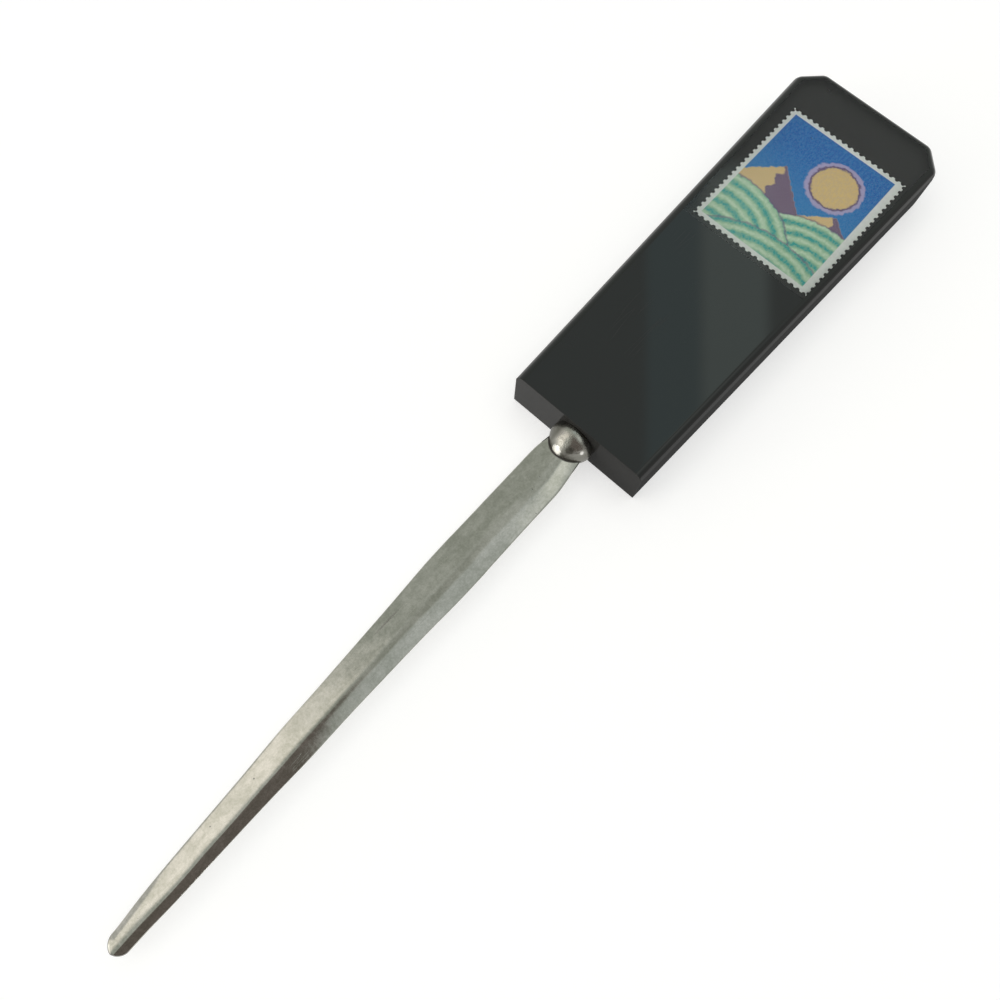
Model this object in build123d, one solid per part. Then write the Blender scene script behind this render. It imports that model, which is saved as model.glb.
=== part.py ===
from build123d import *
import os
from math import pi, sin

# Letter opener: a ridged steel blade held in a black acrylic handle, with a
# perforated stamp sealed under a clear face. Millimetres, +Z up, tip towards -X.

# Handle slab, lying on its underside
handle_length = 103.4
blade_end_width = 32.3
far_end_width = 38.5
base_thickness = 9.0
clear_thickness = 3.0
corner_cut = 4.8
corner_ease = 1.0
face_round = 2.0
underside_ease = 0.4

# Stamp, let into the base's top face
stamp_length = 36.8
stamp_width = 30.15
stamp_thickness = 0.12
stamp_from_far_end = 11.6
stamp_offset = -0.7
perforation_pitch = 1.555
perforation_diameter = 1.0
perforation_sides = 12
stamp_clearance = 0.03

# Blade, measured outwards from the handle's end face
blade_reach = 123.4
root_width = 8.0
full_width = 9.8
point_width = 4.9
root_thickness = 2.7
point_thickness = 1.6
nose_thickness = 1.0
edge_thickness = 0.5
root_ridge_offset = 0.6
point_ridge_offset = 1.2
ridge_round = 1.5
shoulder_length = 10.0
parallel_length = 21.0
tip_sway = 2.3

# Tang and its cemented bore
tang_diameter = 4.0
tang_length = 30.0
tang_ease = 0.6
cement_wall = 0.3
cement_plug = 2.0

# Domed bolster between the blade's root and the handle
bolster_diameter = 9.7
bolster_seat_diameter = 9.3
bolster_seat = 1.3
bolster_nose = 4.7
bolster_side_fullness = 0.38
bolster_nose_fullness = 0.45
slot_depth = 3.7
slot_clearance = 0.05

# Sections lofted along each stretch of the blade
shoulder_sections = 3
taper_sections = 4

# Places worked out from the sizes above
total_length = handle_length + blade_reach
far_end = total_length / 2
end_face = far_end - handle_length
axis_height = (base_thickness + clear_thickness) / 2
bolster_length = bolster_seat + bolster_nose
root_reach = bolster_length - slot_depth
parallel_start = root_reach + shoulder_length
taper_start = parallel_start + parallel_length
tip_radius = point_width / 2
point_reach = blade_reach - tip_radius
blade_axis = Plane(origin=(end_face, 0, axis_height), x_dir=(0, 1, 0), z_dir=(-1, 0, 0))


def handle_plan():
    """Tapered outline of the slab, with both far corners cut and eased."""
    near = blade_end_width / 2
    far = far_end_width / 2
    outline = Polyline((end_face, -near), (far_end, -far), (far_end, far), (end_face, near), close=True)
    plan = make_face(outline)
    plan = chamfer(plan.vertices().sort_by(Axis.X)[2:], corner_cut)
    return fillet(plan.vertices().sort_by(Axis.X)[2:], corner_ease)


def rod(diameter, start, stop):
    """Round bar on the blade's axis, between two distances out from the end face."""
    return extrude(blade_axis.offset(start) * Circle(diameter / 2), stop - start)


def stamp_place():
    """Where the stamp lies: flat on the floor of its pocket."""
    centre = far_end - stamp_from_far_end - stamp_length / 2
    return Pos(centre, stamp_offset, base_thickness - stamp_thickness - stamp_clearance)


def make_handle_base():
    """Black slab with the stamp's pocket above and the tang's bore in its end."""
    slab = extrude(handle_plan(), base_thickness)
    slab = chamfer(slab.edges().group_by(Axis.Z)[0], underside_ease)
    room = 2 * stamp_clearance
    pocket = stamp_place() * Rectangle(stamp_length + room, stamp_width + room)
    slab -= extrude(pocket, stamp_thickness + stamp_clearance)
    return slab - rod(tang_diameter + 2 * cement_wall, 0, -tang_length - cement_plug)


def make_clear_face():
    """Clear sheet over the base, buffed round on every edge but the blade's end."""
    sheet = Pos(0, 0, base_thickness) * extrude(handle_plan(), clear_thickness)
    top_edges = sheet.edges().group_by(Axis.Z)[-1]
    return fillet(top_edges.sort_by(Axis.X)[1:], face_round)


def make_stamp():
    """Paper rectangle with half a hole punched at each step along its sides."""
    along = round(stamp_length / perforation_pitch)
    across = round(stamp_width / perforation_pitch)
    hole = RegularPolygon(perforation_diameter / 2, perforation_sides)
    paper = Rectangle(stamp_length, stamp_width)
    paper -= GridLocations(stamp_length / along, stamp_width, along, 2) * hole
    paper -= GridLocations(stamp_length, stamp_width / across, 2, across) * hole
    return stamp_place() * extrude(paper, stamp_thickness)


def blade_width(reach):
    """Width of the blade: swelling shoulders, a parallel stretch, then a taper."""
    if reach < parallel_start:
        share = (reach - root_reach) / shoulder_length
        return root_width + (full_width - root_width) * sin(share * pi / 2)
    share = max(0, reach - taper_start) / (point_reach - taper_start)
    return full_width + (point_width - full_width) * share


def blade_thickness(reach):
    """Thickness at the ridge: an even taper to the point, then a steeper nose."""
    if reach > point_reach:
        share = (reach - point_reach) / tip_radius
        return point_thickness + (nose_thickness - point_thickness) * share
    share = (reach - root_reach) / (point_reach - root_reach)
    return root_thickness + (point_thickness - root_thickness) * share


def blade_section(reach, clearance=0):
    """Diamond section with rounded ridges, off the middle, and thin flat edges."""
    share = (reach - root_reach) / (point_reach - root_reach)
    offset = root_ridge_offset + (point_ridge_offset - root_ridge_offset) * share
    half = blade_width(reach) / 2 + clearance
    ridge = blade_thickness(reach) / 2 + clearance
    flat = edge_thickness / 2 + clearance
    upper = [(half, flat), (-offset, ridge), (-half, flat)]
    lower = [(-half, -flat), (-offset, -ridge), (half, -flat)]
    diamond = make_face(Polyline(*upper, *lower, close=True))
    corners = diamond.vertices().sort_by(Axis.Y)
    diamond = fillet([corners[0], corners[-1]], ridge_round)
    return blade_axis.offset(reach) * Pos(-tip_sway * share**2, 0) * diamond


def make_tang():
    """Round tang from the blade's root into the handle, eased at its inner end."""
    tang = rod(tang_diameter, root_reach, -tang_length)
    return chamfer(tang.edges().group_by(Axis.X)[-1], tang_ease)


def make_blade():
    """Lofted blade with a rounded tip, drawn down to a round tang behind its root."""
    shoulder_step = shoulder_length / shoulder_sections
    taper_step = (point_reach - taper_start) / taper_sections
    stations = [root_reach + shoulder_step * k for k in range(shoulder_sections + 1)]
    stations += [taper_start + taper_step * k for k in range(taper_sections)]
    stations += [point_reach, blade_reach]
    body = loft([blade_section(reach) for reach in stations])
    tip_room = Pos(-tip_sway, 0) * Rectangle(2 * full_width, 2 * full_width)
    tip_end = extrude(blade_axis.offset(point_reach) * tip_room, 2 * tip_radius)
    tip_centre = Pos(end_face - point_reach, -tip_sway, axis_height)
    body -= tip_end - tip_centre * Cylinder(tip_radius, 2 * root_thickness)
    return body + make_tang()


def bolster_profile():
    """Half outline of the bolster: widest just off its seat, then drawn to a blunt nose."""
    radius = bolster_diameter / 2
    seat = (0, bolster_seat_diameter / 2)
    widest = (-bolster_seat, radius)
    nose = (-bolster_length, 0)
    side_pull = (-bolster_seat - bolster_side_fullness * bolster_nose, radius)
    nose_pull = (-bolster_length, bolster_nose_fullness * radius)
    back = Bezier(seat, (-bolster_seat / 2, radius), widest)
    front = Bezier(widest, side_pull, nose_pull, nose)
    return make_face([back, front, Polyline(nose, (0, 0), seat)])


def make_bolster():
    """Ball-shaped collar, slotted for the blade's root and bored for its tang."""
    dome = Pos(end_face, 0, axis_height) * revolve(bolster_profile(), Axis.X)
    slot = loft([blade_section(reach, slot_clearance) for reach in (root_reach, bolster_length)])
    return dome - slot - rod(tang_diameter + 2 * slot_clearance, 0, root_reach)


def make_tang_cement():
    """Cured cement between the tang and its bore, closed at the inner end."""
    fill = rod(tang_diameter + 2 * cement_wall, 0, -tang_length - cement_plug)
    return fill - make_tang()


parts = {
    "handle_base": make_handle_base(),
    "clear_face": make_clear_face(),
    "stamp": make_stamp(),
    "blade": make_blade(),
    "bolster": make_bolster(),
    "tang_cement": make_tang_cement(),
}

os.makedirs("parts", exist_ok=True)
for name, shape in parts.items():
    export_step(shape, f"parts/{name}.step")
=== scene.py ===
"""Letter opener: finishes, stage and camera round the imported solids. Metres, +Z up, tip towards -X."""

from math import cos, exp, pi, radians, sin, sqrt, tan

import bmesh
import bpy
from bpy.props import FloatProperty, FloatVectorProperty, PointerProperty
from mathutils import Euler, Matrix, Vector


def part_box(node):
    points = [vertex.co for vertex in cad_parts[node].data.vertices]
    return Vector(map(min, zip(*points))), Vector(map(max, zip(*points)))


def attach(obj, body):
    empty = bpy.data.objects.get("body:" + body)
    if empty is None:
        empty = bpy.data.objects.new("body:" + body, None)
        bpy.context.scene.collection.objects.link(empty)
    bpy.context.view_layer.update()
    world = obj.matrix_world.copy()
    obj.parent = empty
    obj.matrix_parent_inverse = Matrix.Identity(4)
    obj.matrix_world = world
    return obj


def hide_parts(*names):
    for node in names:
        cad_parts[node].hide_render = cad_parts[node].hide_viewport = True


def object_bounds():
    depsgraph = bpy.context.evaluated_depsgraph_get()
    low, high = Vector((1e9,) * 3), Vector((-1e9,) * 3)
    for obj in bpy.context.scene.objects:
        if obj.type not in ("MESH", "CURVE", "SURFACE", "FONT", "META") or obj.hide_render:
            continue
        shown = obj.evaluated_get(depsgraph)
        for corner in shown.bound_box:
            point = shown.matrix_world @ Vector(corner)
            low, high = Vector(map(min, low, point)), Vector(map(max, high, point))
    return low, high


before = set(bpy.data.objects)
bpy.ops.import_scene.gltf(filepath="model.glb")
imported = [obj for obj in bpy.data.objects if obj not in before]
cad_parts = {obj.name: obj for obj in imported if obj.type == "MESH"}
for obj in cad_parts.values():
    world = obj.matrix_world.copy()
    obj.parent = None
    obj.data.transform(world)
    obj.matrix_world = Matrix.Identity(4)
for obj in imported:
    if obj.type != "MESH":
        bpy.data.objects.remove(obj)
cad_low, cad_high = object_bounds()

bl_info = {
    "name": "Letter opener",
    "version": (1, 0, 0),
    "blender": (4, 5, 0),
    "location": "3D View > Sidebar > Letter opener",
    "description": "Dresses a letter opener: acrylic handle with a sealed stamp, plated blade and bolster",
    "category": "Object",
}

MM = 0.001
BODY = "root"

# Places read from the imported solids
base_low, base_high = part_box("handle_base")
face_low, face_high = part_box("clear_face")
stamp_low, stamp_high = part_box("stamp")
blade_low, blade_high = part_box("blade")
dome_low, dome_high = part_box("bolster")
stamp_centre = (stamp_low + stamp_high) / 2
end_face = base_low.x
axis_height = (dome_low.z + dome_high.z) / 2
blade_reach = end_face - blade_low.x
tang_length = blade_high.x - end_face
bolster_reach = end_face - dome_low.x

# The places that the shaders use, in millimetres
end_mm = end_face / MM
axis_mm = axis_height / MM
joint_mm = base_high.z / MM
top_mm = face_high.z / MM


# Settings that a user can change


def length(label, about, millimetres):
    """A size, given in millimetres and kept in metres."""
    return FloatProperty(
        name=label, description=about, default=millimetres * MM, unit="LENGTH", precision=5
    )


def share(label, about, value):
    """An amount from 0 to 1."""
    return FloatProperty(name=label, description=about, default=value, min=0, max=1, subtype="FACTOR")


def power(label, about, watts):
    """A lamp's power, in watts."""
    return FloatProperty(name=label, description=about, default=watts, unit="POWER")


def colour(label, about, red, green, blue):
    """A linear colour."""
    return FloatVectorProperty(
        name=label, description=about, default=(red, green, blue), min=0, max=1, subtype="COLOR"
    )


class HandleSettings(bpy.types.PropertyGroup):
    """Acrylic handle: the clear sheet's sizes and both acrylics' finish."""

    blade_end_width: length("Blade-end width", "Width of the handle where the blade leaves it", 32.3)
    far_end_width: length("Far-end width", "Width at the far end, before the corner cuts", 38.5)
    corner_cut: length("Corner cut", "Length cut from each edge at the two far corners", 4.8)
    face_round: length("Face round", "Radius of the buffed edges of the clear face", 2.0)
    corner_ease: length("Corner ease", "Radius of the easing on the far corners", 2.6)
    bond_depth: length("Bond depth", "How far the clear sheet runs on below the joint", 0.2)
    window_margin: length("Window margin", "How far the see-through part starts short of the stamp", 2.3)
    black: colour("Black", "Colour of the black acrylic", 0.0122, 0.0147, 0.0145)
    # Painted light: lighter than the black, to make up for the light lost in the clear sheet and the shade
    # of its opaque part near the window.
    joint: colour("Joint", "Colour of the black acrylic seen through the clear sheet", 0.037, 0.038, 0.037)
    scuff: colour("Scuff", "Colour of scuffed acrylic", 0.03, 0.031, 0.031)
    clear: colour("Clear", "Tint of the clear acrylic", 0.985, 0.99, 0.985)
    polish: share("Polish", "Roughness of the clean face", 0.05)
    smudges: share("Smudges", "Roughness that handling adds to the face", 0.06)
    wall_gloss: share("Wall gloss", "Gloss of the sanded side walls", 0.08)
    wall_grey: colour("Wall grey", "Colour of the sanded side walls", 0.02, 0.0205, 0.02)
    end_gloss: share("End gloss", "Gloss of the sanded blade-end face", 0.35)
    end_grey: colour("End grey", "Colour of the sanded blade-end face", 0.034, 0.034, 0.033)
    cement: colour("Cement", "Colour of the cured cement round the tang", 0.4, 0.38, 0.32)
    cement_cloud: colour("Cement cloud", "Colour of the cement's pale clouds", 0.52, 0.48, 0.38)
    bubble: colour("Bubble", "Colour of the bubbles in the cement", 0.25, 0.23, 0.19)


class StampSettings(bpy.types.PropertyGroup):
    """Stamp: the paper's border and the colours of its landscape."""

    border: length("Border", "Bare paper on three sides of the picture", 1.3)
    wide_border: length("Wide border", "Bare paper on the right of the picture", 2.0)
    paper: colour("Paper", "Colour of the bare paper", 0.86, 0.90, 0.86)
    fibre: colour("Fibre", "Colour of the darker fibres in the paper", 0.72, 0.74, 0.70)
    sky: colour("Sky", "Deep blue at the top of the picture", 0.003, 0.15, 0.52)
    haze: colour("Haze", "Paler blue above the peaks", 0.035, 0.27, 0.60)
    sun: colour("Sun", "Tan of the sun and of the lit slopes", 0.76, 0.56, 0.27)
    gold: colour("Gold", "Crayon strokes on the sun", 0.85, 0.62, 0.22)
    shade: colour("Shade", "Purple of the outlines and the shaded slopes", 0.14, 0.09, 0.22)
    lilac: colour("Lilac", "Pale halo round the sun", 0.46, 0.42, 0.66)
    teal: colour("Teal", "Darker stripe of the hills", 0.035, 0.40, 0.37)
    leaf: colour("Leaf", "Green stripe of the hills", 0.36, 0.62, 0.40)
    mint: colour("Mint", "Palest stripe of the hills", 0.62, 0.80, 0.60)


class BladeSettings(bpy.types.PropertyGroup):
    """Blade: its sections along the length, and the worn plating."""

    root_width: length("Root width", "Width where the blade enters the bolster", 8.0)
    full_width: length("Full width", "Width past the shoulders", 9.8)
    point_width: length("Point width", "Width where the rounded nose begins", 4.9)
    root_thickness: length("Root thickness", "Thickness at the ridge, at the root", 2.7)
    point_thickness: length("Point thickness", "Thickness at the ridge, where the nose begins", 1.6)
    edge_thickness: length("Edge thickness", "Thickness of the blunt edges", 0.5)
    root_ridge_offset: length("Root ridge offset", "The ridge's distance off the middle at the root", 0.6)
    point_ridge_offset: length("Point ridge offset", "The ridge's distance off the middle at the nose", 1.2)
    root_reach: length("Root reach", "Distance of the blade's root from the handle", 2.3)
    shoulder_length: length("Shoulder length", "Length over which the blade swells to its full width", 10.0)
    parallel_length: length("Parallel length", "Length at full width", 21.0)
    tip_sway: length("Tip sway", "Sideways sweep of the tip", 2.3)
    facet_crown: length("Facet crown", "How far each facet bulges in its middle, at the root", 0.03)
    axis_shift: length("Axis shift", "How far the blade lies to one side of the bolster's middle", 0.28)
    tip_pinch: length("Tip pinch", "How far each edge draws in at the tip", 0.3)
    nose_lean: length("Nose lean", "Extra sideways sweep of the rounded nose", 0.12)
    nose_roundness: FloatProperty(
        name="Nose roundness", description="How fast the nose draws in; 1 is a half circle", default=1.2
    )
    ridge_return: length("Ridge return", "How far the ridge comes back to the middle at the tip", 0.75)
    swell_width: length("Swell width", "Extra width at the two swells that hand grinding left", 0.32)
    root_swell: length("Root swell", "Distance of the first swell from the handle", 39.5)
    tip_swell: length("Tip swell", "Distance of the second swell from the handle", 79.0)
    swell_length: length("Swell length", "Distance over which a swell fades", 6.5)
    tip_fade: length("Tip fade", "Distance over which the tip's pinch and the ridge's return fade", 7.0)
    nose_fade: length("Nose fade", "Distance over which the nose's lean fades", 3.5)
    pillow: share("Pillow", "How round the back of the tip is", 0.85)
    pillow_length: length("Pillow length", "Length over which the ridge fades into the round back", 14.0)
    tang_diameter: length("Tang diameter", "Diameter of the tang in the handle", 4.0)
    tang_ease: length("Tang ease", "Easing on the tang's inner end", 0.6)
    wave_depth: length("Wave depth", "Depth of the ripples that hand grinding leaves", 0.02)
    long_wave: length("Long wave", "Length of the longer ripples, to one radian", 4.1)
    short_wave: length("Short wave", "Length of the shorter ripples, to one radian", 1.9)
    ridge_softness: share("Ridge softness", "Share of each facet that the ridge's rounding takes", 0.24)
    steel: colour("Steel", "Colour of the plating", 0.455, 0.46, 0.41)
    bloom: colour("Bloom", "Colour of the cloudy bloom on the plating", 0.69, 0.68, 0.64)
    dull: colour("Dull", "Colour of the dull rim round the tip", 0.24, 0.235, 0.22)
    # Colour of the painted shade along the seam at the bolster, and of real grime in scratches and pits.
    grime_and_seam_shade: colour("Grime", "Dirt in the seam at the bolster and in scratches", 0.05, 0.045, 0.04)
    roughness: share("Roughness", "Roughness of the clean plating", 0.085)
    bloom_roughness: share("Bloom roughness", "Roughness that the bloom adds", 0.06)


class BolsterSettings(bpy.types.PropertyGroup):
    """Bolster: its outline and bright plating."""

    seat: length("Seat", "Distance from the handle to the bolster's widest place", 1.3)
    nose: length("Nose", "Distance from the widest place to the end of the nose", 4.7)
    plating: colour("Plating", "Colour of the bright plating", 0.54, 0.53, 0.49)
    # Colour of the real tarnished spots, and also of the painted shade and the painted dark reflection on
    # the bolster.
    tarnish_and_shade: colour("Tarnish", "Colour of the tarnished spots", 0.17, 0.167, 0.145)
    # Colour of the painted highlights on the bolster's plating.
    wear_and_highlight: colour("Worn", "Colour of the bright worn spot on the nose", 0.94, 0.93, 0.89)
    roughness: share("Roughness", "Roughness of the clean plating", 0.22)


class StageSettings(bpy.types.PropertyGroup):
    """Stage: floor, lamps and the photograph's camera."""

    floor_width: length("Floor width", "Width of the square floor", 6000.0)
    floor: colour("Floor", "Colour of the floor", 0.55, 0.55, 0.55)
    floor_lift: share("Floor lift", "Extra white that the floor shows", 0.58)
    key_power: power("Key power", "Power of the key lamp", 0.8)
    glint_power: power("Glint power", "Power of the small lamp", 0.05)
    fill_power: power("Fill power", "Power of the fill lamp", 4.5)
    camera_place: FloatVectorProperty(
        name="Camera place",
        description="Place of the photograph's camera",
        default=(-52.16 * MM, -29.37 * MM, 174.39 * MM),
        subtype="TRANSLATION",
        unit="LENGTH",
    )
    camera_turn: FloatVectorProperty(
        name="Camera turn",
        description="Turn of the photograph's camera",
        default=(radians(17.341), radians(-1.578), radians(-48.019)),
        subtype="EULER",
        unit="ROTATION",
    )
    camera_lens: FloatProperty(
        name="Camera lens", description="Focal length on a 36 mm sensor", default=32.4, unit="CAMERA"
    )


class OpenerSettings(bpy.types.PropertyGroup):
    """All settings of the letter opener."""

    handle: PointerProperty(name="Handle", description="Acrylic handle", type=HandleSettings)
    stamp: PointerProperty(name="Stamp", description="Sealed stamp", type=StampSettings)
    blade: PointerProperty(name="Blade", description="Plated blade", type=BladeSettings)
    bolster: PointerProperty(name="Bolster", description="Domed bolster", type=BolsterSettings)
    stage: PointerProperty(name="Stage", description="Floor, lamps and camera", type=StageSettings)


# Shader helpers


def connect(tree, node, values):
    """Link sockets to a node's inputs, or set them."""
    for name, value in values.items():
        if isinstance(value, bpy.types.NodeSocket):
            tree.links.new(value, node.inputs[name])
        else:
            node.inputs[name].default_value = value


def add_node(tree, kind, values=None, **settings):
    """Add a node, set its options, and link or set its inputs."""
    node = tree.nodes.new("ShaderNode" + kind)
    for name, value in settings.items():
        setattr(node, name, value)
    connect(tree, node, values or {})
    return node


def opaque(rgb):
    """A colour setting as four numbers."""
    return (*rgb, 1)


def number(tree, operation, first, second=0.0, third=0.0):
    """One sum on numbers or sockets."""
    node = add_node(tree, "Math", {0: first, 1: second, 2: third}, operation=operation)
    return node.outputs[0]


def product(tree, first, second):
    """One number times another."""
    return number(tree, "MULTIPLY", first, second)


def highest(tree, first, *others):
    """The highest of some numbers."""
    for other in others:
        first = number(tree, "MAXIMUM", first, other)
    return first


def vector(tree, operation, first, second=(0, 0, 0)):
    """One sum on vectors; the dot product and distance come out as a number."""
    node = add_node(tree, "VectorMath", {0: first, 1: second}, operation=operation)
    single = operation in ("DOT_PRODUCT", "DISTANCE", "LENGTH")
    return node.outputs["Value" if single else "Vector"]


def ramp(tree, value, start, stop, low=0.0, high=1.0):
    """A smooth step of a value from one level to another."""
    values = {"Value": value, "From Min": start, "From Max": stop, "To Min": low, "To Max": high}
    node = add_node(tree, "MapRange", values, interpolation_type="SMOOTHSTEP")
    return node.outputs["Result"]


def step_at(tree, value, edge, soft):
    """A smooth step at an edge, falling where the softness is negative."""
    return ramp(tree, value, edge - soft, edge + soft)


def blend(tree, amount, under, over):
    """Lay one colour over another by an amount."""
    node = add_node(tree, "Mix", {0: amount, 6: under, 7: over}, data_type="RGBA")
    return node.outputs[2]


def between(tree, amount, low, high):
    """A number part of the way from one value to another."""
    node = add_node(tree, "Mix", {0: amount, 2: low, 3: high}, data_type="FLOAT")
    return node.outputs[0]


def noise(tree, place, scale, detail=3.0, distortion=0.0):
    """Soft noise with a given number of cells to each unit of place."""
    values = {"Vector": place, "Scale": scale, "Detail": detail, "Distortion": distortion}
    return add_node(tree, "TexNoise", values).outputs["Fac"]


def new_group(name, inputs, output):
    """A shader group with named inputs and one output."""
    group = bpy.data.node_groups.new(name, "ShaderNodeTree")
    for label, kind in inputs.items():
        group.interface.new_socket(label, in_out="INPUT", socket_type="NodeSocket" + kind)
    group.interface.new_socket(output, in_out="OUTPUT", socket_type="NodeSocketFloat")
    entry = group.nodes.new("NodeGroupInput")
    leave = group.nodes.new("NodeGroupOutput")
    return group, entry.outputs, leave.inputs[output]


def make_haze_group():
    """Cloudy patches from 0 to 1, as handling and age leave on polished surfaces."""
    group, entry, leave = new_group("Haze", {"Place": "Vector", "Patch Size": "Float"}, "Haze")
    scale = number(group, "DIVIDE", 1.0, entry["Patch Size"])
    cloud = noise(group, entry["Place"], scale, detail=5.0, distortion=0.6)
    group.links.new(ramp(group, cloud, 0.36, 0.68), leave)
    return group


def make_scratch_group():
    """Fine hairline scratches from 0 to 1, lying about one direction."""
    inputs = {"Place": "Vector", "Spacing": "Float", "Share": "Float"}
    group, entry, leave = new_group("Scratches", inputs, "Scratch")
    scale = number(group, "DIVIDE", 1.0, entry["Spacing"])
    bent = vector(group, "MULTIPLY", entry["Place"], (0.05, 1.0, 1.0))
    lines = noise(group, bent, scale, detail=1.0, distortion=0.25)
    crest = number(group, "ABSOLUTE", number(group, "SUBTRACT", lines, 0.5))
    hair = ramp(group, crest, 0.0, 0.012, 1.0, 0.0)
    patch = noise(group, entry["Place"], product(group, scale, 0.13), detail=2.0)
    start = number(group, "SUBTRACT", 0.75, product(group, entry["Share"], 0.4))
    kept = ramp(group, patch, start, number(group, "ADD", start, 0.06))
    group.links.new(product(group, hair, kept), leave)
    return group


def make_speck_group():
    """Small pits and dust specks from 0 to 1."""
    inputs = {"Place": "Vector", "Spacing": "Float", "Share": "Float"}
    group, entry, leave = new_group("Specks", inputs, "Speck")
    scale = number(group, "DIVIDE", 1.0, entry["Spacing"])
    cells = add_node(group, "TexVoronoi", {"Vector": entry["Place"], "Scale": scale})
    dot = ramp(group, cells.outputs["Distance"], 0.06, 0.13, 1.0, 0.0)
    luck = add_node(group, "SeparateColor", {0: cells.outputs["Color"]}).outputs[0]
    kept = number(group, "LESS_THAN", luck, entry["Share"])
    group.links.new(product(group, dot, kept), leave)
    return group


def effect(name):
    """A shared effect, made the first time that a material asks for it."""
    makers = {"Haze": make_haze_group, "Scratches": make_scratch_group, "Specks": make_speck_group}
    return bpy.data.node_groups.get(name) or makers[name]()


def use_effect(tree, name, values):
    """Place a shared effect in a material and give its output."""
    return add_node(tree, "Group", values, node_tree=effect(name)).outputs[0]


def new_material(name):
    """An empty material with its Principled shader and the object's place in millimetres."""
    material = bpy.data.materials.new(name)
    material.use_nodes = True
    tree = material.node_tree
    shader = tree.nodes["Principled BSDF"]
    coordinates = add_node(tree, "TexCoord").outputs["Object"]
    place = vector(tree, "MULTIPLY", coordinates, (1 / MM, 1 / MM, 1 / MM))
    return material, tree, shader, place


def bump(tree, height, depth):
    """A normal from a height field whose full step has this depth."""
    node = add_node(tree, "Bump", {"Height": height, "Strength": 1.0, "Distance": depth})
    return node.outputs["Normal"]


def split(tree, place):
    """The three coordinates of a place."""
    return add_node(tree, "SeparateXYZ", {0: place}).outputs


# Finishes


def in_joint(tree, axes, handle):
    """Mask of the bonded joint between the base and the clear sheet, short of the outer walls."""
    near = handle.blade_end_width / 2
    slope = (handle.far_end_width / 2 - near) / (face_high.x - end_face)
    along = number(tree, "SUBTRACT", axes["X"], end_mm)
    half_width = number(tree, "MULTIPLY_ADD", along, slope, near / MM)
    inside = number(tree, "SUBTRACT", half_width, number(tree, "ABSOLUTE", axes["Y"]))
    left = number(tree, "SUBTRACT", face_high.x / MM, axes["X"])
    inside = number(tree, "MINIMUM", inside, number(tree, "MINIMUM", along, left))
    low = ramp(tree, axes["Z"], joint_mm + 0.6, joint_mm + 0.5)
    return product(tree, low, ramp(tree, inside, 0.1, 0.2))


def face_wear(tree, place):
    """Smudges of handling, and marks: hairlines and dust."""
    smudge = use_effect(tree, "Haze", {"Place": place, "Patch Size": 17.0})
    hair = use_effect(tree, "Scratches", {"Place": place, "Spacing": 2.2, "Share": 0.3})
    dust = use_effect(tree, "Specks", {"Place": place, "Spacing": 2.6, "Share": 0.04})
    return smudge, highest(tree, hair, dust)


def black_acrylic(handle):
    """Black acrylic, alone or under clear: polished on top, sanded on its walls, dull in the joint, whose
    colour is painted lighter.
    """
    material, tree, shader, place = new_material("black_acrylic")
    axes = split(tree, place)
    gloss = ramp(tree, axes["Z"], top_mm - handle.face_round / MM, top_mm - 0.4, handle.wall_gloss, 1.0)
    at_end = ramp(tree, axes["X"], end_mm + 0.15, end_mm + 0.05)
    handled = ramp(tree, axes["Y"], 3.0, -4.0)
    end_gloss = product(tree, handle.end_gloss, number(tree, "MULTIPLY_ADD", handled, -0.45, 1.0))
    gloss = between(tree, at_end, gloss, end_gloss)
    bonded = in_joint(tree, axes, handle)
    gloss = between(tree, bonded, gloss, 0.0)
    smudge, marks = face_wear(tree, place)
    wear_and_highlight = number(tree, "MULTIPLY_ADD", smudge, 0.08, product(tree, marks, 0.6))
    dimmed = number(tree, "SUBTRACT", 1.0, product(tree, wear_and_highlight, 0.5))
    below = ramp(tree, axes["Z"], top_mm - 0.05, top_mm - 0.7)
    tone = blend(tree, below, opaque(handle.black), opaque(handle.wall_grey))
    tone = blend(tree, at_end, tone, opaque(handle.end_grey))
    # Painted light: the joint's colour is lighter than the black, to make up for the light lost under the
    # clear sheet.
    tone = blend(tree, bonded, tone, opaque(handle.joint))
    connect(tree, shader, {
        "Base Color": blend(tree, wear_and_highlight, tone, opaque(handle.scuff)),
        "Roughness": 0.6,
        "Specular IOR Level": 0.0,
        "Coat Weight": product(tree, gloss, dimmed),
        "Coat Roughness": 0.04,
        "Coat IOR": 1.49,
    })
    return material


def clear_acrylic(handle):
    """Clear acrylic with faint smudges, hairlines and dust; lamps shine through it to the stamp."""
    material, tree, shader, place = new_material("clear_acrylic")
    smudge, marks = face_wear(tree, place)
    rough = number(tree, "MULTIPLY_ADD", smudge, handle.smudges, handle.polish)
    rough = number(tree, "MULTIPLY_ADD", marks, 0.25, rough)
    connect(tree, shader, {
        "Base Color": opaque(handle.clear),
        "Roughness": rough,
        "IOR": 1.49,
        "Transmission Weight": 1.0,
        "Normal": bump(tree, marks, 0.004 * MM),
    })
    open_to_lamps = add_node(tree, "BsdfTransparent")
    path = add_node(tree, "LightPath")
    mix = add_node(tree, "MixShader", {
        0: path.outputs["Is Shadow Ray"],
        1: shader.outputs["BSDF"],
        2: open_to_lamps.outputs["BSDF"],
    })
    tree.links.new(mix.outputs["Shader"], tree.nodes["Material Output"].inputs["Surface"])
    return material


def disc(tree, picture, right, up, radius, soft=0.25):
    """A filled circle on the picture, with its distance from the centre."""
    reach = vector(tree, "DISTANCE", picture, (right, up, 0))
    return step_at(tree, reach, radius, -soft), reach


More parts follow.
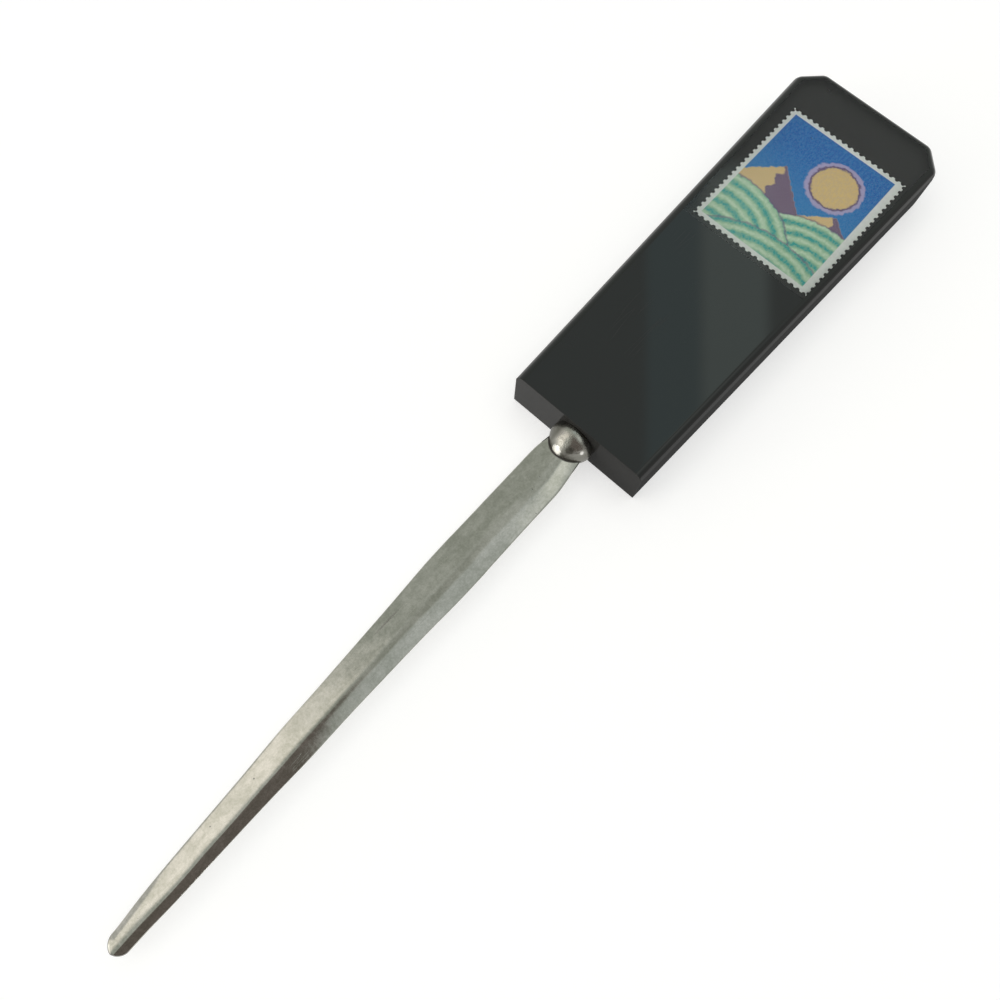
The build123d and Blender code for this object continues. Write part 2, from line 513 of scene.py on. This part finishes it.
def peak(tree, axes, right, up, slope, soft=0.25):
    """A mountain on the picture, and its shaded right-hand side."""
    across = number(tree, "SUBTRACT", axes["X"], right)
    drop = product(tree, number(tree, "ABSOLUTE", across), slope)
    depth = number(tree, "SUBTRACT", number(tree, "SUBTRACT", up, drop), axes["Y"])
    inside = step_at(tree, depth, 0, soft)
    zigzag = product(tree, number(tree, "SINE", product(tree, axes["Y"], 1.7)), 0.55)
    shaded = step_at(tree, number(tree, "ADD", across, zigzag), 0, soft)
    return inside, product(tree, inside, shaded)


def stamp_print(stamp):
    """Perforated paper printed with a landscape in soft crayon: sun, peaks and striped hills."""
    material, tree, shader, place = new_material("stamp_paper")
    offset = (stamp_centre.y / MM, -stamp_centre.x / MM, 0)
    upright = add_node(tree, "Mapping", {"Vector": place, "Location": offset, "Rotation": (0, 0, pi / 2)})
    flat = vector(tree, "MULTIPLY", upright.outputs["Vector"], (1, 1, 0))
    wander = add_node(tree, "TexNoise", {"Vector": flat, "Scale": 0.9, "Detail": 3.0}).outputs["Color"]
    drift = vector(tree, "MULTIPLY", vector(tree, "SUBTRACT", wander, (0.5, 0.5, 0.5)), (1.3, 1.3, 0))
    picture = vector(tree, "ADD", flat, drift)
    axes = split(tree, picture)
    edges = split(tree, flat)
    grain = noise(tree, vector(tree, "MULTIPLY", flat, (1, 0.5, 1)), 1.9, detail=3.0)
    crayon = ramp(tree, grain, 0.42, 0.6)

    # Sky, paler towards the peaks
    fade = product(tree, ramp(tree, axes["Y"], 13.0, -3.0), 0.6)
    art = blend(tree, fade, opaque(stamp.sky), opaque(stamp.haze))
    art = blend(tree, product(tree, crayon, 0.45), art, opaque(stamp.haze))

    # Sun with an outline and a halo
    for radius, tint in ((6.6, stamp.lilac), (5.7, stamp.shade), (5.2, stamp.sun)):
        inside = disc(tree, picture, 4.0, 7.2, radius)[0]
        art = blend(tree, inside, art, opaque(tint))
    glow = product(tree, inside, product(tree, crayon, 0.5))
    art = blend(tree, glow, art, opaque(stamp.gold))

    # Peaks, lit on the left and shaded on the right
    for right, up, slope in ((-7.0, 4.6, 0.95), (8.6, 1.4, 0.8)):
        inside, shaded = peak(tree, axes, right, up, slope)
        art = blend(tree, inside, art, opaque(stamp.sun))
        art = blend(tree, product(tree, shaded, 0.9), art, opaque(stamp.shade))

    # Hills with curved furrows
    hills = ((11.0, -22.0, 20.0, 1.3), (-11.0, -24.5, 20.5, 1.5), (4.0, -37.0, 25.5, 1.4))
    for right, up, radius, half_furrow in hills:
        rim = disc(tree, picture, right, up, radius + 0.35)[0]
        inside, reach = disc(tree, picture, right, up, radius)
        furrow = number(tree, "PINGPONG", reach, half_furrow)
        stripe = ramp(tree, furrow, 0.1 * half_furrow, 0.6 * half_furrow)
        crest = ramp(tree, furrow, 0.45 * half_furrow, 0.95 * half_furrow)
        grass = blend(tree, stripe, opaque(stamp.teal), opaque(stamp.leaf))
        grass = blend(tree, crest, grass, opaque(stamp.mint))
        grass = blend(tree, product(tree, crayon, 0.4), grass, opaque(stamp.leaf))
        art = blend(tree, product(tree, rim, 0.7), art, opaque(stamp.shade))
        art = blend(tree, inside, art, grass)

    # Bare paper round the picture
    half_wide = (stamp_high.y - stamp_low.y) / 2
    half_high = (stamp_high.x - stamp_low.x) / 2
    soft = 0.1
    left = step_at(tree, edges["X"], (stamp.border - half_wide) / MM, soft)
    right = step_at(tree, edges["X"], (half_wide - stamp.wide_border) / MM, -soft)
    tall = number(tree, "ABSOLUTE", edges["Y"])
    high = step_at(tree, tall, (half_high - stamp.border) / MM, -soft)
    printed = product(tree, product(tree, left, right), high)
    bare = ramp(tree, noise(tree, flat, 4.0, detail=2.0), 0.75, 0.35, 0.9, 1.0)
    fibres = use_effect(tree, "Haze", {"Place": place, "Patch Size": 0.7})
    paper = blend(tree, product(tree, fibres, 0.3), opaque(stamp.paper), opaque(stamp.fibre))
    connect(tree, shader, {
        "Base Color": blend(tree, product(tree, printed, bare), paper, art),
        "Roughness": 0.75,
        "Specular IOR Level": 0.0,
    })
    return material


def seam_shade(tree, place, bolster):
    """Painted shade on the blade along the crease where the bolster's nose meets it."""
    away = vector(tree, "SUBTRACT", place, (end_mm, 0, axis_mm))
    radius = vector(tree, "LENGTH", vector(tree, "MULTIPLY", away, (0, 1, 1)))
    part = number(tree, "DIVIDE", radius, (dome_high.y - dome_low.y) / 2 / MM)
    bulge = number(tree, "MULTIPLY_ADD", part, product(tree, part, -1.0), 1.0)
    bulge = number(tree, "POWER", highest(tree, bulge, 0.0), 0.72)
    nose = number(tree, "MULTIPLY_ADD", bulge, bolster.nose / MM, bolster.seat / MM)
    past = number(tree, "SUBTRACT", product(tree, split(tree, away)["X"], -1.0), nose)
    return ramp(tree, past, 0.5, 0.2)


def tip_rim(tree, place, blade):
    """Mask of the rim round the blade's tip."""
    nose = blade.point_width / 2
    middle = (blade_low.x + nose, -blade.tip_sway - blade.axis_shift - blade.nose_lean, axis_height)
    away = vector(tree, "SUBTRACT", place, tuple(part / MM for part in middle))
    reach = vector(tree, "LENGTH", vector(tree, "MULTIPLY", away, (1, 1, 0)))
    past = ramp(tree, split(tree, away)["X"], 0.6, -0.6)
    rim = ramp(tree, reach, 0.72 * nose / MM, 0.95 * nose / MM)
    return product(tree, past, rim)


def plated_blade(blade, bolster):
    """Worn plating: cloudy bloom, grinding lines, pits, one long scratch, dirt in the scratch and pits, and
    painted shade along the seam at the bolster.
    """
    material, tree, shader, place = new_material("plated_blade")
    drawn = vector(tree, "MULTIPLY", place, (0.3, 1.0, 1.0))
    bloom = use_effect(tree, "Haze", {"Place": drawn, "Patch Size": 2.6})
    mottle = use_effect(tree, "Haze", {"Place": place, "Patch Size": 1.4})
    dents = noise(tree, place, 0.4, detail=2.0)
    hair = use_effect(tree, "Scratches", {"Place": place, "Spacing": 0.9, "Share": 0.35})
    pits = use_effect(tree, "Specks", {"Place": place, "Spacing": 1.5, "Share": 0.1})
    grain = noise(tree, vector(tree, "MULTIPLY", place, (0.06, 1.0, 1.0)), 5.0, detail=4.0)
    mark = vector(tree, "MULTIPLY", vector(tree, "SUBTRACT", place, (-42.0, 1.9, 0)), (0.22, 3.6, 0))
    scratch = ramp(tree, vector(tree, "LENGTH", mark), 1.0, 0.4)
    # Painted shade along the seam at the bolster, laid on together with the real dirt in the scratch and
    # the pits.
    seam = seam_shade(tree, place, bolster)
    dirt_and_seam_shade = highest(tree, seam, product(tree, scratch, 0.55), product(tree, pits, 0.5))
    speckle = noise(tree, place, 2.4, detail=2.0)
    cloud = number(tree, "MULTIPLY_ADD", mottle, 0.35, product(tree, bloom, 0.45))
    cloud = number(tree, "MULTIPLY_ADD", number(tree, "SUBTRACT", speckle, 0.4), 0.9, cloud)
    metal = blend(tree, cloud, opaque(blade.steel), opaque(blade.bloom))
    metal = blend(tree, tip_rim(tree, place, blade), metal, opaque(blade.dull))
    rough = number(tree, "MULTIPLY_ADD", cloud, blade.bloom_roughness, blade.roughness)
    rough = number(tree, "MULTIPLY_ADD", hair, 0.1, rough)
    height = number(tree, "MULTIPLY_ADD", grain, 0.12, product(tree, mottle, 0.1))
    height = number(tree, "SUBTRACT", height, number(tree, "ADD", hair, product(tree, pits, 2.0)))
    height = number(tree, "MULTIPLY_ADD", dents, 2.5, height)
    connect(tree, shader, {
        "Base Color": blend(tree, dirt_and_seam_shade, metal, opaque(blade.grime_and_seam_shade)),
        "Metallic": number(tree, "SUBTRACT", 1.0, product(tree, dirt_and_seam_shade, 0.6)),
        "Roughness": number(tree, "MULTIPLY_ADD", dirt_and_seam_shade, 0.3, rough),
        "Normal": bump(tree, height, 0.006 * MM),
    })
    return material


def plated_bolster(bolster):
    """Bright plating with tarnished spots, hairlines and pits, painted shade towards the bottom and on the
    +Y side, a painted dark reflection and two painted highlights.
    """
    material, tree, shader, place = new_material("plated_bolster")
    spots = use_effect(tree, "Haze", {"Place": place, "Patch Size": 1.6})
    hair = use_effect(tree, "Scratches", {"Place": place, "Spacing": 0.6, "Share": 0.4})
    pits = use_effect(tree, "Specks", {"Place": place, "Spacing": 0.8, "Share": 0.2})
    axes = split(tree, place)
    rim = ramp(tree, axes["X"], dome_high.x / MM - 0.7, dome_high.x / MM - 0.1)
    # Painted shade: the plating goes darker towards the bottom of the bolster.
    shade = ramp(tree, axes["Z"], axis_mm + 4.4, axis_mm + 1.8)
    grain = noise(tree, place, 2.8, detail=3.0)
    dull = highest(tree, product(tree, spots, 0.3), product(tree, rim, 0.7), product(tree, pits, 0.7))
    # Painted shade also darkens the bolster's +Y side.
    dull = highest(tree, dull, product(tree, shade, 0.85), ramp(tree, axes["Y"], 1.3, 3.0))
    # Painted dark reflection: a dark patch on the nose where the plating is to mirror a dark place.
    painted_dark_patch = vector(tree, "DISTANCE", place, (end_mm - 4.0, -1.5, axis_mm + 3.0))
    painted_dark_patch = number(tree, "MULTIPLY_ADD", grain, 0.8, painted_dark_patch)
    dull = highest(tree, dull, ramp(tree, painted_dark_patch, 1.9, 0.9))
    uneven = number(tree, "MULTIPLY_ADD", grain, 1.2, -0.6)
    # Painted highlights: a bright spot on the nose and a small glint on the -Y side, where the plating is
    # made near white.
    spot = vector(tree, "DISTANCE", place, (end_mm - 5.3, 0.75, axis_mm + 1.9))
    wear_and_highlight = ramp(tree, number(tree, "ADD", spot, uneven), 1.35, 0.85)
    glint = vector(tree, "DISTANCE", place, (end_mm - 2.6, -3.6, axis_mm + 2.7))
    glint = number(tree, "MULTIPLY_ADD", uneven, 0.4, glint)
    wear_and_highlight = highest(tree, wear_and_highlight, ramp(tree, glint, 0.55, 0.25))
    rough = number(tree, "MULTIPLY_ADD", dull, 0.15, bolster.roughness)
    marks = number(tree, "ADD", hair, pits)
    height = number(tree, "MULTIPLY_ADD", spots, 0.6, product(tree, marks, -0.4))
    height = number(tree, "MULTIPLY_ADD", grain, 2.4, height)
    metal = blend(tree, dull, opaque(bolster.plating), opaque(bolster.tarnish_and_shade))
    connect(tree, shader, {
        "Base Color": blend(tree, wear_and_highlight, metal, opaque(bolster.wear_and_highlight)),
        "Metallic": 1.0,
        "Roughness": number(tree, "MULTIPLY_ADD", hair, 0.1, rough),
        "Normal": bump(tree, height, 0.02 * MM),
    })
    return material


def cured_cement(handle):
    """Cloudy cured cement with trapped bubbles."""
    material, tree, shader, place = new_material("cured_cement")
    cloud = use_effect(tree, "Haze", {"Place": place, "Patch Size": 3.0})
    bubbles = use_effect(tree, "Specks", {"Place": place, "Spacing": 1.2, "Share": 0.5})
    tone = blend(tree, product(tree, cloud, 0.5), opaque(handle.cement), opaque(handle.cement_cloud))
    connect(tree, shader, {
        "Base Color": blend(tree, bubbles, tone, opaque(handle.bubble)),
        "Roughness": number(tree, "MULTIPLY_ADD", cloud, 0.2, 0.3),
        "Normal": bump(tree, bubbles, 0.03 * MM),
    })
    return material


# Meshes


def add_piece(name, shape, material, node):
    """Turn a bmesh into a piece that stands for a CAD node and rides on the opener."""
    mesh = bpy.data.meshes.new(name)
    shape.to_mesh(mesh)
    shape.free()
    mesh.shade_smooth()
    mesh.set_sharp_from_angle(angle=radians(35))
    mesh.materials.append(material)
    piece = bpy.data.objects.new(name, mesh)
    bpy.context.scene.collection.objects.link(piece)
    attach(piece, BODY)
    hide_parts(node)
    return piece


def finish_node(name, material):
    """Give a CAD node that stays its own finish."""
    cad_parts[name].material_slots[0].material = material


def eased_corner(before, corner, after, radius):
    """Points of an arc that rounds the corner between two straight edges."""
    back = (before - corner).normalized()
    onward = (after - corner).normalized()
    half_angle = back.angle(onward) / 2
    centre = corner + (back + onward).normalized() * radius / sin(half_angle)
    first = corner + back * radius / tan(half_angle) - centre
    last = corner + onward * radius / tan(half_angle) - centre
    steps = 6
    return [centre + first.lerp(last, step / steps).normalized() * radius for step in range(steps + 1)]


def handle_outline(handle):
    """Outline of the tapered handle, seen from above, with both far corners cut and eased."""
    near = handle.blade_end_width / 2
    far = handle.far_end_width / 2
    start = Vector((end_face, near))
    corner = Vector((face_high.x, far))
    side = corner + (start - corner).normalized() * handle.corner_cut
    end = corner - Vector((0, handle.corner_cut))
    half = [start]
    half += eased_corner(start, side, end, handle.corner_ease)
    half += eased_corner(side, end, Vector((face_high.x, 0)), handle.corner_ease)
    return [(x, -y) for x, y in half] + [(x, y) for x, y in reversed(half)]


def cut_window(shape, handle):
    """Leave the top face see-through from just short of the stamp to the far end."""
    start = stamp_low.x - handle.window_margin
    level = face_high.z - 0.01 * MM
    top = [face for face in shape.faces if face.calc_center_median().z > level]
    parts = {item for face in top for item in (face, *face.edges, *face.verts)}
    bmesh.ops.bisect_plane(shape, geom=list(parts), plane_co=(start, 0, 0), plane_no=(1, 0, 0))
    for face in shape.faces:
        middle = face.calc_center_median()
        if middle.z > level and middle.x > start:
            face.material_index = 1


def raise_face(shape, face, rise):
    """Extrude a face straight up, or down, and give its new corners."""
    raised = bmesh.ops.extrude_face_region(shape, geom=[face])
    corners = [item for item in raised["geom"] if isinstance(item, bmesh.types.BMVert)]
    bmesh.ops.translate(shape, verts=corners, vec=(0, 0, rise))
    return corners


def make_clear_sheet(handle, black):
    """Clear sheet: buffed round on its top edges, with its underside sunk into the joint."""
    shape = bmesh.new()
    floor = shape.faces.new([shape.verts.new((x, y, face_low.z)) for x, y in handle_outline(handle)])
    top = raise_face(shape, floor, face_high.z - face_low.z)
    sunk = raise_face(shape, floor, -handle.bond_depth)
    bmesh.ops.delete(shape, geom=[floor], context="FACES_ONLY")
    bmesh.ops.recalc_face_normals(shape, faces=shape.faces)
    centre = Vector(((face_low.x + face_high.x) / 2, 0, 0))
    inside_walls = (0.9993, 0.9985, 1)
    bmesh.ops.scale(shape, verts=sunk, vec=inside_walls, space=Matrix.Translation(-centre))
    top_edges = [edge for edge in shape.edges if all(vert in top for vert in edge.verts)]
    buffed = [edge for edge in top_edges if max(vert.co.x for vert in edge.verts) > end_face + MM]
    bmesh.ops.bevel(
        shape, geom=buffed, offset=handle.face_round, offset_type="OFFSET", segments=8, profile=0.5,
        affect="EDGES", material=-1, clamp_overlap=True,
    )
    cut_window(shape, handle)
    piece = add_piece("clear_sheet", shape, black, "clear_face")
    piece.data.materials.append(clear_acrylic(handle))
    level = piece.modifiers.new("Level faces", "WEIGHTED_NORMAL")
    level.weight = 100
    level.keep_sharp = True
    return piece


def smooth(part):
    """A smooth step from 0 to 1, level outside that range."""
    part = max(0.0, min(1.0, part))
    return part * part * (3 - 2 * part)


def bell(distance, spread):
    """1 at no distance, fading smoothly to 0 well past the spread."""
    return exp(-((distance / spread) ** 2))


def blade_station(blade, reach, nose=0.0):
    """Sizes of the blade's section at a distance from the handle, with the nose's turn past the point."""
    tip_radius = blade.point_width / 2
    point = blade_reach - tip_radius
    taper_start = blade.root_reach + blade.shoulder_length + blade.parallel_length
    part = (reach - blade.root_reach) / (point - blade.root_reach)
    swell = min(1.0, (reach - blade.root_reach) / blade.shoulder_length)
    width = blade.root_width + (blade.full_width - blade.root_width) * sin(swell * pi / 2)
    if reach > taper_start:
        width += (blade.point_width - blade.full_width) * (reach - taper_start) / (point - taper_start)
    near_tip = bell(point - reach, blade.tip_fade)
    near_nose = bell(point - reach, blade.nose_fade)
    width -= 2 * blade.tip_pinch * near_tip
    for place in (blade.root_swell, blade.tip_swell):
        width += blade.swell_width * bell(reach - place, blade.swell_length)
    shrink = cos(nose) ** blade.nose_roundness
    thickness = blade.root_thickness + (blade.point_thickness - blade.root_thickness) * part
    offset = blade.root_ridge_offset + (blade.point_ridge_offset - blade.root_ridge_offset) * part
    offset -= blade.ridge_return * near_tip
    shoulder_end = blade.root_reach + blade.shoulder_length
    shift = blade.axis_shift * smooth((reach - bolster_reach) / (shoulder_end - bolster_reach))
    return {
        "reach": reach + tip_radius * sin(nose),
        "half": shrink * width / 2,
        "ridge": sqrt(shrink) * thickness / 2,
        "flat": sqrt(shrink) * blade.edge_thickness / 2,
        "offset": shrink * offset,
        "pillow": blade.pillow * smooth(1 - (point - reach) / blade.pillow_length),
        "sway": -blade.tip_sway * part**2 - shift - blade.nose_lean * near_nose,
    }


def blade_stations(blade):
    """Every section from the tang's inner end to the rounded nose."""
    tang = blade.tang_diameter / 2
    ease = blade.tang_ease
    inner = -tang_length
    rings = ((inner, 0), (inner, tang - ease), (inner + ease, tang), (blade.root_reach, tang))
    stations = [{"reach": reach, "round": radius} for reach, radius in rings]
    point = blade_reach - blade.point_width / 2
    steps = 150
    for step in range(steps + 1):
        reach = blade.root_reach + (point - blade.root_reach) * step / steps
        stations.append(blade_station(blade, reach))
    nose_steps = 16
    for step in range(1, nose_steps + 1):
        stations.append(blade_station(blade, point, nose=step / nose_steps * pi / 2))
    return stations


def blade_point(blade, station, turn):
    """Place on the blade's skin at one station, a turn round from the +Y edge."""
    x = end_face - station["reach"]
    if "round" in station:
        return Vector((x, station["round"] * cos(turn), axis_height + station["round"] * sin(turn)))
    across = cos(turn)
    soft = blade.ridge_softness
    fall = (sqrt(across**2 + soft**2) - soft) / (sqrt(1 + soft**2) - soft)
    squareness = 60
    edge = sqrt(max(0.0, 1 - across**squareness))
    height = station["flat"] * edge + (station["ridge"] - station["flat"]) * (1 - fall)
    crown = blade.facet_crown * 2 * station["ridge"] / blade.root_thickness
    height += crown * 4 * abs(across) * (1 - abs(across))
    height += (station["ridge"] * sqrt(max(0.0, 1 - across**2)) - height) * station["pillow"]
    ripple = sin(station["reach"] / blade.long_wave + 2.2 * across)
    ripple += sin(station["reach"] / blade.short_wave - 3.1 * across)
    height += blade.wave_depth * ripple * (1 - across**2) * edge * station["ridge"] / blade.root_thickness
    side = station["half"] + station["offset"] if across > 0 else station["half"] - station["offset"]
    y = station["sway"] - station["offset"] + across * side
    return Vector((x, y, axis_height + (height if sin(turn) >= 0 else -height)))


def make_blade(blade, bolster):
    """Blade and tang in one skin: a grid rolled round the stations and closed at both ends."""
    stations = blade_stations(blade)
    around = 96
    shape = bmesh.new()
    bmesh.ops.create_grid(shape, x_segments=len(stations) - 1, y_segments=around, size=0.5)
    for vert in shape.verts:
        station = stations[round((vert.co.x + 0.5) * (len(stations) - 1))]
        vert.co = blade_point(blade, station, 2 * pi * (vert.co.y + 0.5))
    bmesh.ops.remove_doubles(shape, verts=shape.verts, dist=0.0001 * MM)
    bmesh.ops.recalc_face_normals(shape, faces=shape.faces)
    return add_piece("plated_blade", shape, plated_blade(blade, bolster), "blade")


# Stage


def heading(azimuth, elevation):
    """Direction at an azimuth from +X towards +Y and an elevation, in degrees."""
    flat = cos(radians(elevation))
    return Vector((flat * cos(radians(azimuth)), flat * sin(radians(azimuth)), sin(radians(elevation))))


def overhead(x, y):
    """Direction of a place on a ceiling one unit up."""
    return Vector((x, y, 1)).normalized()


def studio_panel(tree, ray, corners, soft):
    """Mask of a soft-edged panel, given by the directions of its corners in turn."""
    centre = sum(corners, Vector())
    mask = 1.0
    for start, stop in zip(corners, corners[1:] + corners[:1]):
        inward = start.cross(stop).normalized()
        if inward.dot(centre) < 0:
            inward.negate()
        depth = vector(tree, "DOT_PRODUCT", ray, tuple(inward))
        mask = product(tree, mask, step_at(tree, depth, 0, soft))
    return mask


def make_world():
    """A plain studio: walls, ceiling, a window with a bright pane, dark places and strips overhead."""
    world = bpy.data.worlds.new("studio")
    world.use_nodes = True
    tree = world.node_tree
    ray = add_node(tree, "TexCoord").outputs["Generated"]
    rise = split(tree, ray)["Z"]
    walls = (0.68, 0.68, 0.66, 1)
    ceiling = (0.48, 0.50, 0.46, 1)
    tone = blend(tree, ramp(tree, rise, 0.0, 0.55), walls, ceiling)
    upper = [overhead(-0.04, 0.36), overhead(0.60, 0.36), heading(48, 38), heading(92, 38)]
    window = [overhead(-0.03, 0.30), heading(96.5, 8), heading(135, -5), heading(172, -5)]
    sill = [heading(100, 51), heading(127, 50), heading(127, 0), heading(100, 0)]
    pane = [heading(138, -5), heading(138, 26), heading(168, 26), heading(168, -5)]
    side = [overhead(-0.05, -0.24), overhead(0.62, -0.24), heading(-40, 42), heading(-95, 42)]
    root = [overhead(0.30, -0.30), overhead(0.60, -0.30), heading(-40, 50), overhead(0.30, -0.60)]
    low = [heading(-40, 36), heading(-40, -10), heading(-100, -10), heading(-100, 36)]
    operator = [overhead(-0.10, -0.16), overhead(0.20, -0.20), overhead(0.20, 0.24), overhead(-0.10, 0.24)]
    corner = [overhead(-0.045, 0.18), overhead(-0.028, -0.10), heading(-96.2, -10), heading(-160, -10)]
    beam = [overhead(0.36, 0.03), overhead(1.20, 0.00), overhead(1.20, 0.38), overhead(0.36, 0.33)]
    cool = [overhead(0.345, 0.038), overhead(0.388, -0.013), overhead(0.778, 0.303), overhead(0.735, 0.368)]
    light = [overhead(0.387, -0.011), overhead(0.44, -0.074), overhead(0.83, 0.236), overhead(0.777, 0.305)]
    panels = (
        (upper, 0.05, (0.43, 0.45, 0.405)),
        (window, 0.09, (1.19, 1.135, 1.03)),
        (sill, 0.03, (0.66, 0.65, 0.62)),
        (pane, 0.05, (2.20, 2.14, 2.00)),
        (side, 0.05, (0.56, 0.59, 0.57)),
        (root, 0.05, (0.92, 0.94, 0.88)),
        (low, 0.08, (0.37, 0.37, 0.355)),
        (operator, 0.06, (0.385, 0.40, 0.36)),
        (corner, 0.014, (0.162, 0.140, 0.126)),
        (beam, 0.05, (0.50, 0.525, 0.505)),
        (cool, 0.007, (0.58, 0.73, 0.74)),
        (light, 0.009, (0.95, 1.10, 1.04)),
    )
    for corners, soft, tint in panels:
        tone = blend(tree, studio_panel(tree, ray, corners, soft), tone, opaque(tint))
    tree.links.new(tone, tree.nodes["Background"].inputs["Color"])
    bpy.context.scene.world = world


def add_lamp(name, direction, distance, width, watts):
    """A square soft lamp that faces the opener from a direction."""
    lamp = bpy.data.lights.new(name, "AREA")
    lamp.size = width
    lamp.energy = watts
    holder = bpy.data.objects.new(name, lamp)
    holder.location = direction * distance
    holder.rotation_euler = direction.to_track_quat("Z", "Y").to_euler()
    bpy.context.scene.collection.objects.link(holder)
    return holder


def make_floor(stage):
    """White floor that keeps the shadow and shows white to the camera, to metal and to glass."""
    shape = bmesh.new()
    bmesh.ops.create_grid(shape, x_segments=1, y_segments=1, size=stage.floor_width / 2)
    bmesh.ops.translate(shape, verts=shape.verts, vec=(0, 0, cad_low.z))
    mesh = bpy.data.meshes.new("floor")
    shape.to_mesh(mesh)
    shape.free()
    material, tree, shader = new_material("floor")[:3]
    path = add_node(tree, "LightPath").outputs
    seen = number(tree, "ADD", path["Is Camera Ray"], path["Is Glossy Ray"])
    seen = number(tree, "MINIMUM", number(tree, "ADD", seen, path["Is Transmission Ray"]), 1.0)
    connect(tree, shader, {
        "Base Color": opaque(stage.floor),
        "Roughness": 0.8,
        "Specular IOR Level": 0.0,
        "Emission Color": (1, 1, 1, 1),
        "Emission Strength": product(tree, seen, stage.floor_lift),
    })
    mesh.materials.append(material)
    floor = bpy.data.objects.new("floor", mesh)
    bpy.context.scene.collection.objects.link(floor)


def make_camera(stage):
    """The photograph's camera."""
    camera = bpy.data.cameras.new("camera")
    camera.lens = stage.camera_lens
    camera.sensor_width = 36.0
    camera.clip_start = 10 * MM
    holder = bpy.data.objects.new("camera", camera)
    holder.location = stage.camera_place
    holder.rotation_euler = Euler(stage.camera_turn, "XYZ")
    bpy.context.scene.collection.objects.link(holder)
    bpy.context.scene.camera = holder


# Operators, panel and registration


class OPENER_OT_handle(bpy.types.Operator):
    """Make the clear sheet and finish the black base and the cement"""

    bl_idname = "letter_opener.handle"
    bl_label = "Handle"

    def execute(self, context):
        handle = context.scene.letter_opener.handle
        black = black_acrylic(handle)
        make_clear_sheet(handle, black)
        finish_node("handle_base", black)
        finish_node("tang_cement", cured_cement(handle))
        return {"FINISHED"}


class OPENER_OT_stamp(bpy.types.Operator):
    """Print the stamp"""

    bl_idname = "letter_opener.stamp"
    bl_label = "Stamp"

    def execute(self, context):
        finish_node("stamp", stamp_print(context.scene.letter_opener.stamp))
        return {"FINISHED"}


class OPENER_OT_blade(bpy.types.Operator):
    """Make the ridged blade and its tang"""

    bl_idname = "letter_opener.blade"
    bl_label = "Blade"

    def execute(self, context):
        settings = context.scene.letter_opener
        make_blade(settings.blade, settings.bolster)
        return {"FINISHED"}


class OPENER_OT_bolster(bpy.types.Operator):
    """Plate the domed bolster"""

    bl_idname = "letter_opener.bolster"
    bl_label = "Bolster"

    def execute(self, context):
        finish_node("bolster", plated_bolster(context.scene.letter_opener.bolster))
        return {"FINISHED"}


class OPENER_OT_stage(bpy.types.Operator):
    """Make the floor, the studio light and the camera"""

    bl_idname = "letter_opener.stage"
    bl_label = "Stage"

    def execute(self, context):
        stage = context.scene.letter_opener.stage
        context.scene.view_settings.view_transform = "Standard"
        make_floor(stage)
        make_world()
        key = add_lamp("key", heading(152, 7), distance=0.8, width=0.18, watts=stage.key_power)
        key.visible_glossy = False
        add_lamp("glint", heading(-110, 4), distance=0.8, width=0.05, watts=stage.glint_power)
        fill = add_lamp("fill", heading(90, 88), distance=1.1, width=1.2, watts=stage.fill_power)
        fill.visible_glossy = False
        make_camera(stage)
        return {"FINISHED"}


class OPENER_PT_sidebar(bpy.types.Panel):
    """Letter opener settings"""

    bl_idname = "OPENER_PT_sidebar"
    bl_label = "Letter opener"
    bl_space_type = "VIEW_3D"
    bl_region_type = "UI"
    bl_category = "Letter opener"

    def draw(self, context):
        settings = context.scene.letter_opener
        for part in ("handle", "stamp", "blade", "bolster", "stage"):
            box = self.layout.box()
            group = getattr(settings, part)
            for name in group.bl_rna.properties.keys():
                if name not in ("rna_type", "name"):
                    box.prop(group, name)
            box.operator("letter_opener." + part)


CLASSES = (
    HandleSettings,
    StampSettings,
    BladeSettings,
    BolsterSettings,
    StageSettings,
    OpenerSettings,
    OPENER_OT_handle,
    OPENER_OT_stamp,
    OPENER_OT_blade,
    OPENER_OT_bolster,
    OPENER_OT_stage,
    OPENER_PT_sidebar,
)


def register():
    """Register the classes and hang the settings on the scene."""
    for item in CLASSES:
        bpy.utils.register_class(item)
    bpy.types.Scene.letter_opener = PointerProperty(
        name="Letter opener", description="Settings of the letter opener", type=OpenerSettings
    )


def unregister():
    """Take the settings and the classes away again."""
    del bpy.types.Scene.letter_opener
    for item in reversed(CLASSES):
        bpy.utils.unregister_class(item)


def main():
    """Build every piece and the stage."""
    register()
    bpy.ops.letter_opener.handle()
    bpy.ops.letter_opener.stamp()
    bpy.ops.letter_opener.blade()
    bpy.ops.letter_opener.bolster()
    bpy.ops.letter_opener.stage()


if __name__ == "__main__":
    main()
